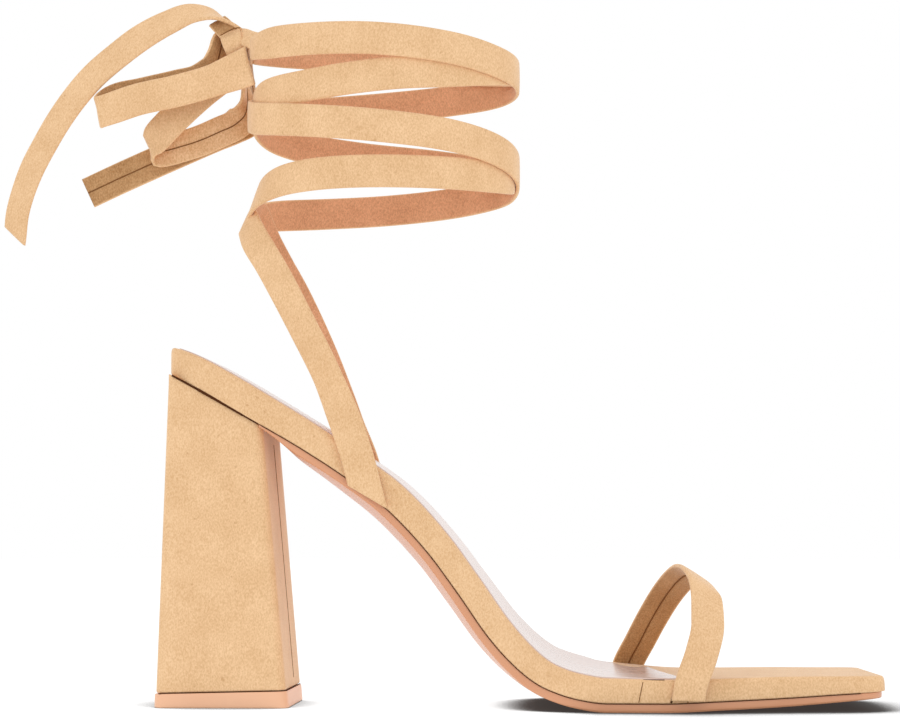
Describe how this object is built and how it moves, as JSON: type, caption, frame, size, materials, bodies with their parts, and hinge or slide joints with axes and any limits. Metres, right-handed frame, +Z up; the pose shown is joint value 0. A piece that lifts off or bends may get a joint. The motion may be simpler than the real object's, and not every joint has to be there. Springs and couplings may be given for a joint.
{
  "type": "strap sandal",
  "caption": "High-heeled strap sandal for the left foot: square toe, flared block heel, one toe strap, and flat ties wound round the ankle and tied in a bow behind.",
  "frame": {"origin": "middle of the heel top lift's underside, on the floor", "axes": "+X from the heel to the toe, +Y towards the outer side of the foot, +Z up"},
  "size_m": [0.2683, 0.0813, 0.216],
  "materials": {
    "suede": "tan imitation suede with a short brushed nap",
    "sole_sheet": "satin pink-tan sole sheet",
    "sock": "pale blush smooth sock with a soft gloss",
    "lift_plastic": "peach moulded plastic, satin"
  },
  "bodies": {
    "root": {"heel_top_lift": "lift_plastic", "heel_block": "suede", "outsole": "sole_sheet", "footbed": "suede", "insole_sock": "sock", "toe_strap": "suede", "ankle_straps": "suede", "knot": "suede", "bow_loop_upper": "suede", "bow_loop_lower": "suede", "tail_long": "suede", "tail_short": "suede"}
  },
  "joints": []
}
